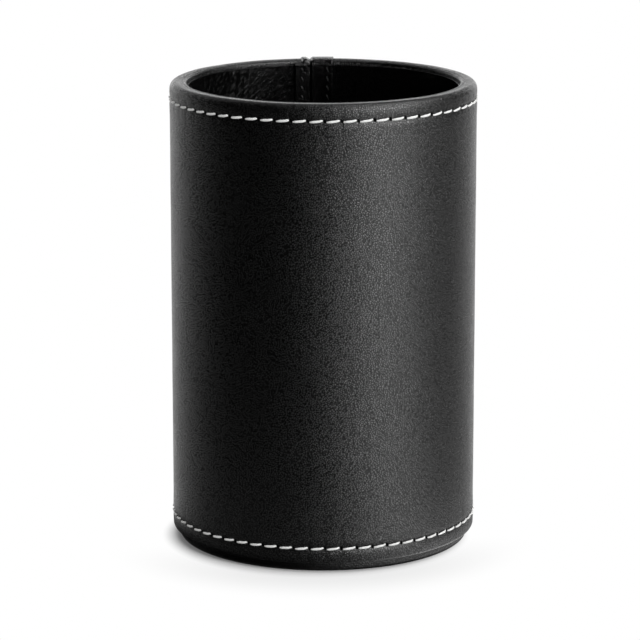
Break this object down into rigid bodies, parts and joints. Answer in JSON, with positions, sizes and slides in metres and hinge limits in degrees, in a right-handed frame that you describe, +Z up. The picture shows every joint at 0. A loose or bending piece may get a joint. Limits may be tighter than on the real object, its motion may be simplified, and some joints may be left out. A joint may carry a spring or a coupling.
{
  "type": "pen cup",
  "caption": "Round pen cup for a desk: a board core covered in black grained leather, lined inside, with white contrast stitching near the rim and the foot and a closing seam at the back.",
  "frame": {"origin": "centre of the underside of the base disc, on the surface that the cup stands on", "axes": "+Z up along the axis of the cup, +Y towards the closing seam at the back, +X to the right as seen from the front"},
  "size_m": [0.0806, 0.0806, 0.122],
  "materials": {
    "black_leather": "black full-grain leather, fine pebble grain, semi-matt",
    "lining_leather": "thin black lining leather, fine grain, matt",
    "core_board": "dense grey-brown board, raw",
    "base_board": "black faced base disc, smooth, satin",
    "white_thread": "white waxed twisted thread",
    "black_thread": "black sewing thread"
  },
  "bodies": {
    "root": {"outer_leather": "black_leather", "core_tube": "core_board", "core_floor": "core_board", "lining_wall": "lining_leather", "lining_floor": "lining_leather", "base_disc": "base_board", "top_stitching": "white_thread", "bottom_stitching": "white_thread", "left_seam_thread_inside": "black_thread", "right_seam_thread_inside": "black_thread", "left_seam_thread_outside": "black_thread", "right_seam_thread_outside": "black_thread"}
  },
  "joints": []
}
